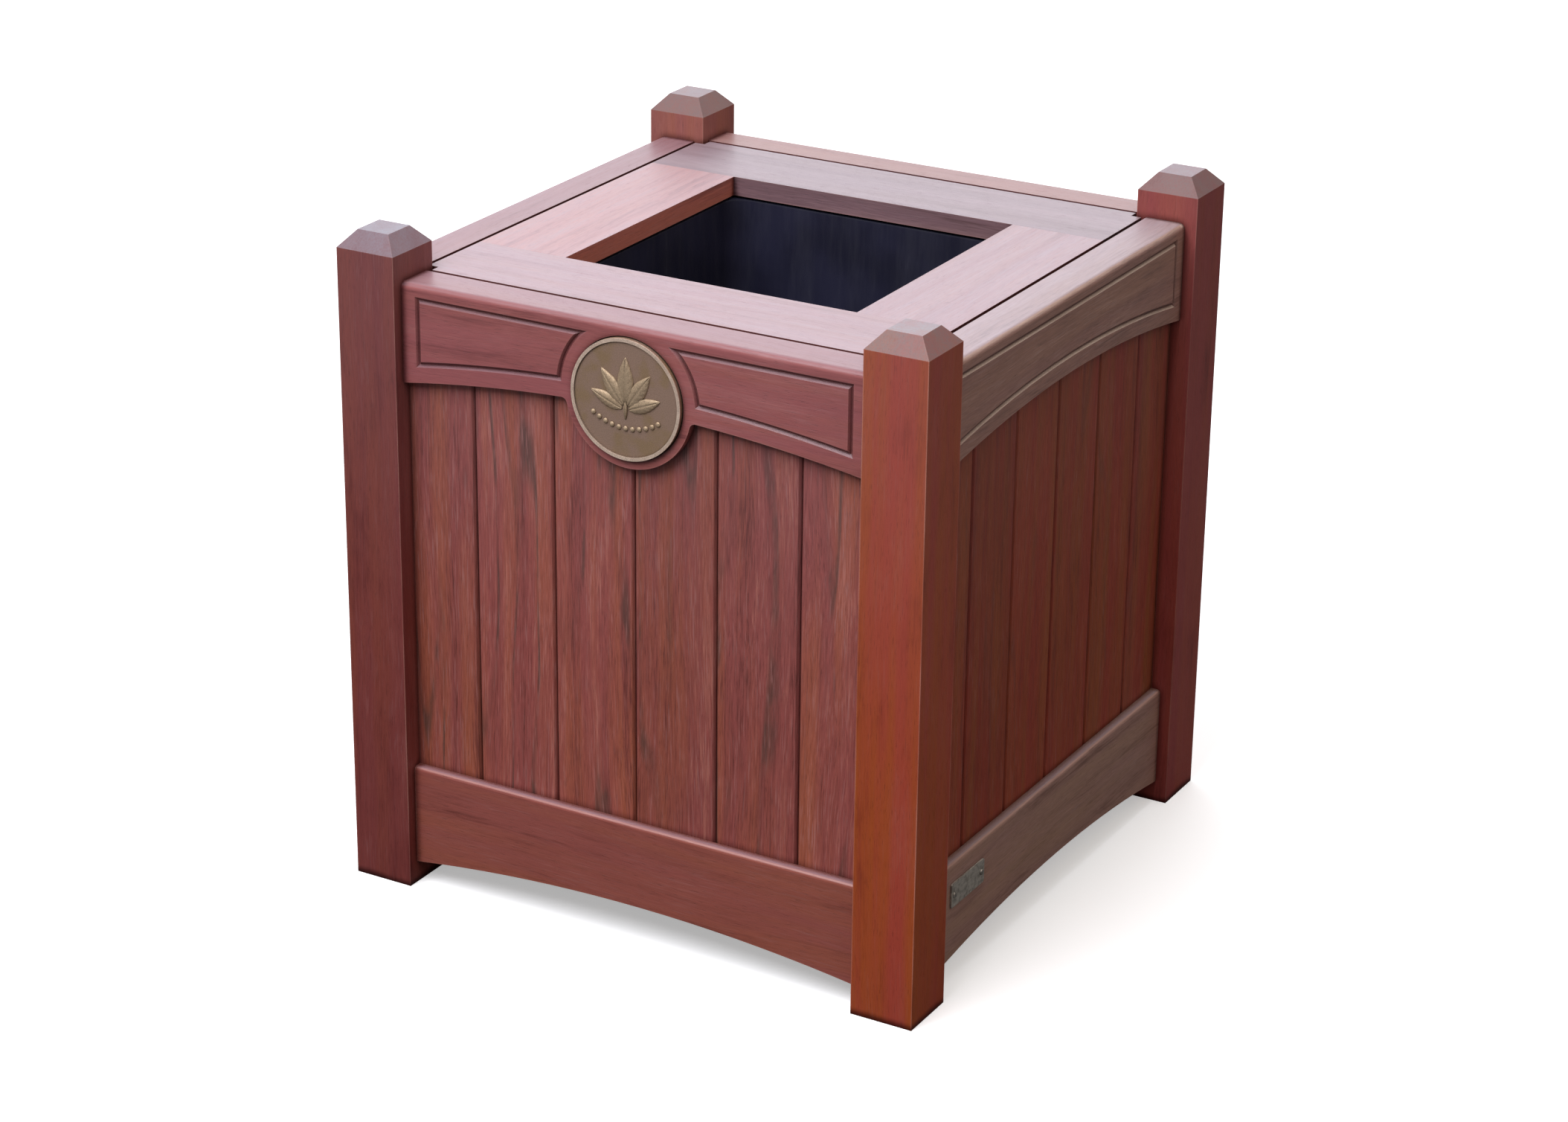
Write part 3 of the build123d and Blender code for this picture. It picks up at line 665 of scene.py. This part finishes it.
def cast_bronze(name, dull, bright, field_depth=None):
    """Cast bronze. Where field_depth is given, what lies that far behind the front is left dull."""
    made, tree, shader = new_material(name)
    layer = noises(tree, own_place(tree), BRONZE_LAYERS)
    raised = step(tree, layer["clouds"], "bright by cloud")
    if field_depth is not None:
        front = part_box("medallion")[0].y
        back = coordinate(tree, own_place(tree), 1)
        proud = ramp(tree, back, front + field_depth * BRIGHT_UNTIL, front + field_depth * DULL_FROM,
                     1.0, 0.0)
        raised = product(tree, raised, proud)
    raised = math_node(tree, "MAXIMUM", raised, edge_mask(tree, *POLISH))
    field = mix(tree, step(tree, layer["stains"], "patina"), dull, PATINA)
    color = mix(tree, raised, field, bright)
    color = mix(tree, step(tree, layer["grains"], "cast pit"), color, CAST_PIT)
    crevice = step(tree, openness(tree, CREVICE_REACH), "cast crevice")
    color = mix(tree, crevice, color, CAST_CREVICE)
    connect(tree, shader, Base_Color=color, Roughness=step(tree, layer["grains"], "cast roughness"),
            Normal=bump(tree, layer["grains"], *CAST_RELIEF))
    set_values(shader, {"Metallic": CAST_METALLIC})
    return made


def brushed_metal(name, color, lines_per_metre, rough=0.35, metallic=0.9):
    """Rolled sheet or turned metal with fine brush lines and a few dull spots."""
    made, tree, shader = new_material(name)
    skin = own_place(tree)
    brush = noise(tree, vector_math(tree, "MULTIPLY", skin, lines_per_metre)[0])
    spots = noise(tree, skin, SPOT_DETAIL, scale=SPOTS_PER_METRE)
    tint = mix(tree, step(tree, spots, "dull spot"), color, DULL_SPOT)
    tint = mix(tree, step(tree, brush, "brush line"), tint, BRUSH_LINE)
    roughness = ramp(tree, brush, *BRUSH_STEP, rough - SMOOTHER, rough + ROUGHER)
    connect(tree, shader, Base_Color=tint, Roughness=roughness,
            Normal=bump(tree, brush, *BRUSH_RELIEF))
    set_values(shader, {"Metallic": metallic})
    return made


# ---------------------------------------------------------------- dressing the CAD nodes

STEEL = srgb(190, 182, 150)
BRIGHT_STEEL = srgb(205, 200, 190)
PLATE_STEEL = srgb(202, 198, 188)
STUD_DULL, STUD_BRIGHT = srgb(120, 98, 68), srgb(190, 160, 112)
MEDALLION_DULL, MEDALLION_BRIGHT = srgb(180, 149, 130), srgb(252, 226, 204)
EMBLEM_DULL, EMBLEM_BRIGHT = srgb(168, 141, 116), srgb(206, 180, 148)
COARSE_LINES, FINE_LINES = (900, 900, 900), (2200, 2200, 2200)
PLATE_LINES = (600, 40, 2600)       # drawn out along Y, the length of the plate

OTHER_LOOKS = {
    "medallion_studs": cast_bronze("stud_bronze", STUD_DULL, STUD_BRIGHT),
    "nameplate_screws": brushed_metal("plate_screw_steel", BRIGHT_STEEL, FINE_LINES),
    "ledger_screws": brushed_metal("ledger_screw_steel", STEEL, COARSE_LINES),
    "floor_screws": brushed_metal("floor_screw_steel", STEEL, COARSE_LINES),
    "medallion": cast_bronze("medallion_bronze", MEDALLION_DULL, MEDALLION_BRIGHT, FIELD_DEPTH),
    "nameplate": brushed_metal("plate_metal", PLATE_STEEL, PLATE_LINES, rough=0.42, metallic=0.5),
    "liner": liner_plastic(),
}


def ease_edges(piece, width):
    """Rounds the sharp edges of a CAD piece by modifiers, which leave its own mesh alone."""
    weld = piece.modifiers.new("weld", "WELD")
    weld.merge_threshold = LOOSE_SEAM
    bevel = piece.modifiers.new("ease", "BEVEL")
    bevel.width = width
    bevel.segments = EASE_STEPS
    bevel.limit_method = "ANGLE"
    bevel.angle_limit = SHARP
    bevel.use_clamp_overlap = True
    bevel.harden_normals = False
    smooth = piece.modifiers.new("normals", "WEIGHTED_NORMAL")
    smooth.keep_sharp = False


def dress_nodes():
    for node in sorted(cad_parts):
        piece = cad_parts[node]
        dress(piece, OTHER_LOOKS[node] if node in OTHER_LOOKS else wood(node))
        width = value_for(node, EDGE_WIDTHS)
        if width:
            ease_edges(piece, width)


# ---------------------------------------------------------------- leaf emblem on the medallion

LEAVES = (
    # place of the base (across, up), length, width, turn from upright in degrees, height
    ((0.0, -0.004), 0.044, 0.0170, 0, 0.0028),
    ((-0.002, -0.006), 0.040, 0.0155, 36, 0.0026),
    ((0.002, -0.006), 0.040, 0.0155, -36, 0.0026),
    ((-0.003, -0.009), 0.036, 0.0135, 68, 0.0024),
    ((0.003, -0.009), 0.036, 0.0135, -68, 0.0024),
    ((0.0, -0.001), 0.018, 0.0044, 180, 0.0022),
)
LEAF_SINK = 0.0004          # how far a leaf's back lies in the field
LEAF_STEPS = 26             # rows from base to tip
LEAF_SIDES = 8              # columns on each side of the midrib
BELLY = 0.82                # under 1, a leaf is widest nearer its base
FULLNESS = 0.85             # under 1, its outline is fuller than a sine wave
DOME_ACROSS, DOME_ALONG = 0.6, 0.5
DOME_END = 0.02             # the part of its length at each end where the dome goes no lower
RIB_DEPTH, RIB_WIDTH = 0.30, 0.10
VEIN_DEPTH, VEINS, VEIN_SLANT = 0.12, 7, 1.4
LEAST_RISE = 0.05

BEADS = 11
BEAD_RADIUS = 0.0026
BEAD_BULGE = 0.7            # height over radius
BEAD_SEGMENTS, BEAD_RINGS = 20, 12
BEAD_ARC_RADIUS = 0.062
BEAD_ARC = math.radians(66)
BEAD_DROP = 0.027

SAME_POINT = 0.00001
NO_LENGTH = 0.000005


def leaf_half_width(along, width):
    if not 0 < along < 1:
        return 0.0
    return width / 2 * math.sin(math.pi * along ** BELLY) ** FULLNESS


def leaf_rise(along, across):
    """The height of a leaf as a part of its full height: a dome, less its midrib, with veins."""
    if not (abs(across) < 1 and 0 < along < 1):
        return 0.0
    middle = min(max(along, DOME_END), 1 - DOME_END)
    dome = (1 - across ** 2) ** DOME_ACROSS * math.sin(math.pi * middle) ** DOME_ALONG
    rib = RIB_DEPTH * math.exp(-(across / RIB_WIDTH) ** 2)
    wave = math.cos(2 * math.pi * (along * VEINS - abs(across) * VEIN_SLANT))
    return max(dome - rib + VEIN_DEPTH * wave * abs(across), LEAST_RISE)


def leaf_mesh(length, width, height):
    """A domed leaf along +Z, out along -Y, with a sunken midrib and slanting veins."""
    made = bmesh.new()
    front = []
    for i in range(LEAF_STEPS + 1):
        along = i / LEAF_STEPS
        half = leaf_half_width(along, width)
        sides = [j / LEAF_SIDES for j in range(-LEAF_SIDES, LEAF_SIDES + 1)]
        front.append([made.verts.new((across * half, -leaf_rise(along, across) * height, along * length))
                      for across in sides])
    back = [[made.verts.new((v.co.x, LEAF_SINK, v.co.z)) for v in row] for row in front]
    for grid, flip in ((front, False), (back, True)):
        for first, second in zip(grid, grid[1:]):
            for a, b, c, d in zip(first, first[1:], second[1:], second):
                made.faces.new((d, c, b, a) if flip else (a, b, c, d))
    for side in (0, -1):
        for k in range(LEAF_STEPS):
            quad = (front[k][side], front[k + 1][side], back[k + 1][side], back[k][side])
            made.faces.new(quad if side == 0 else quad[::-1])
    for end in (0, -1):
        for k in range(2 * LEAF_SIDES):
            quad = (front[end][k], front[end][k + 1], back[end][k + 1], back[end][k])
            made.faces.new(quad[::-1] if end == 0 else quad)
    bmesh.ops.remove_doubles(made, verts=made.verts, dist=SAME_POINT)
    bmesh.ops.dissolve_degenerate(made, edges=made.edges, dist=NO_LENGTH)
    bmesh.ops.recalc_face_normals(made, faces=made.faces)
    return made


def bead_mesh():
    """A low round bead that bulges along -Y."""
    made = bmesh.new()
    bmesh.ops.create_uvsphere(made, u_segments=BEAD_SEGMENTS, v_segments=BEAD_RINGS, radius=BEAD_RADIUS)
    for vertex in made.verts:
        vertex.co.y *= BEAD_BULGE
    return made


def moved(made, across, up, turn, back):
    """Turns a little mesh about the view from the front, then puts it in its place."""
    c, s = math.cos(turn), math.sin(turn)
    for vertex in made.verts:
        x, z = vertex.co.x, vertex.co.z
        vertex.co.x = across + c * x - s * z
        vertex.co.z = up + s * x + c * z
        vertex.co.y += back
    return made


def emblem_parts():
    """The leaves and the beads, each a mesh of its own in its place on the medallion's field."""
    low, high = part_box("medallion")
    centre_x, centre_z = (low.x + high.x) / 2, (low.z + high.z) / 2
    field = low.y + FIELD_DEPTH
    parts = []
    for (across, up), length, width, degrees, height in LEAVES:
        leaf = leaf_mesh(length, width, height)
        parts.append(moved(leaf, centre_x + across, centre_z + up, math.radians(degrees), field))
    for i in range(BEADS):
        angle = BEAD_ARC * (i / (BEADS - 1) - 0.5)
        across = BEAD_ARC_RADIUS * math.sin(angle)
        up = BEAD_ARC_RADIUS * (1 - math.cos(angle)) - BEAD_DROP
        parts.append(moved(bead_mesh(), centre_x + across, centre_z + up, 0.0, field))
    return parts


def emblem():
    """A leaf spray over an arc of beads, cast in one with the medallion."""
    whole = bmesh.new()
    for part in emblem_parts():
        spare = bpy.data.meshes.new("spare")
        part.to_mesh(spare)
        part.free()
        whole.from_mesh(spare)
        bpy.data.meshes.remove(spare)
    mesh = bpy.data.meshes.new("medallion_emblem")
    whole.to_mesh(mesh)
    whole.free()
    for face in mesh.polygons:
        face.use_smooth = True
    piece = bpy.data.objects.new("medallion_emblem", mesh)
    bpy.context.scene.collection.objects.link(piece)
    dress(piece, cast_bronze("emblem_bronze", EMBLEM_DULL, EMBLEM_BRIGHT))
    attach(piece, "box")


# ---------------------------------------------------------------- floor, light and camera

FLOOR_COLORS = (srgb(250, 250, 250), srgb(254, 254, 254))


def by_ray(tree, unseen, seen):
    """One shader where the camera looks straight at it, and another for all the light it gives."""
    camera_ray = add(tree, "LightPath").outputs["Is Camera Ray"]
    return add(tree, "MixShader", {0: camera_ray, 1: unseen, 2: seen}).outputs[0]


def floor():
    """A pale floor. It throws little light back, as dark paving would."""
    bpy.ops.mesh.primitive_plane_add(size=FLOOR_SIZE, location=(0, 0, 0))
    plane = bpy.context.object
    plane.name = "floor"
    made, tree, shader = new_material("floor_pale")
    clouds = noise(tree, own_place(tree), FLOOR_CLOUD_DETAIL, scale=FLOOR_CLOUDS_PER_METRE)
    connect(tree, shader, Base_Color=mix(tree, step(tree, clouds, "floor cloud"), *FLOOR_COLORS))
    set_values(shader, {
        "Roughness": FLOOR_ROUGHNESS,
        "Specular IOR Level": FLOOR_SHEEN,
        "Emission Color": WHITE,
        "Emission Strength": FLOOR_GLOW,
    })
    bounce = add(tree, "BsdfDiffuse", {"Color": FLOOR_BOUNCE})
    surface = by_ray(tree, bounce.outputs[0], shader.outputs[0])
    tree.links.new(surface, tree.nodes["Material Output"].inputs["Surface"])
    dress(plane, made)


def direction(azimuth, elevation):
    """The way out from the planter. Azimuth 0 is in front, and 90 on the right."""
    a, e = math.radians(azimuth), math.radians(elevation)
    return Vector((math.sin(a) * math.cos(e), -math.cos(a) * math.cos(e), math.sin(e)))


def stand(name, data, place, out):
    """Puts a lamp or a camera in its place, looking back against the way out."""
    holder = bpy.data.objects.new(name, data)
    holder.location = place
    holder.rotation_mode = "QUATERNION"
    holder.rotation_quaternion = (-out).to_track_quat("-Z", "Y")
    bpy.context.scene.collection.objects.link(holder)
    return holder


def sky():
    """A soft light from all round, and a plain backdrop where the camera looks past the floor."""
    world = bpy.data.worlds.new("studio")
    world.use_nodes = True
    tree = world.node_tree
    light = tree.nodes["Background"]
    set_values(light, {"Color": WORLD_COLOR, "Strength": WORLD_LIGHT})
    backdrop = add(tree, "Background", {"Color": BACKDROP})
    surface = by_ray(tree, light.outputs[0], backdrop.outputs[0])
    tree.links.new(surface, tree.nodes["World Output"].inputs["Surface"])
    bpy.context.scene.world = world


def lights():
    for name, azimuth, elevation, distance, size, power, color in LIGHTS:
        lamp = bpy.data.lights.new(name, "AREA")
        lamp.size = size
        lamp.energy = power
        lamp.color = color
        out = direction(azimuth, elevation)
        stand(name, lamp, TARGET + out * distance, out)


def camera():
    lens = bpy.data.cameras.new("camera")
    lens.lens = CAMERA_LENS
    lens.sensor_width = CAMERA_SENSOR
    lens.shift_x = CAMERA_SHIFT
    out = direction(CAMERA_AZIMUTH, CAMERA_ELEVATION)
    bpy.context.scene.camera = stand("camera", lens, CAMERA_PLACE, out)


dress_nodes()
emblem()
floor()
sky()
lights()
camera()
bpy.context.scene.view_settings.view_transform = "Standard"
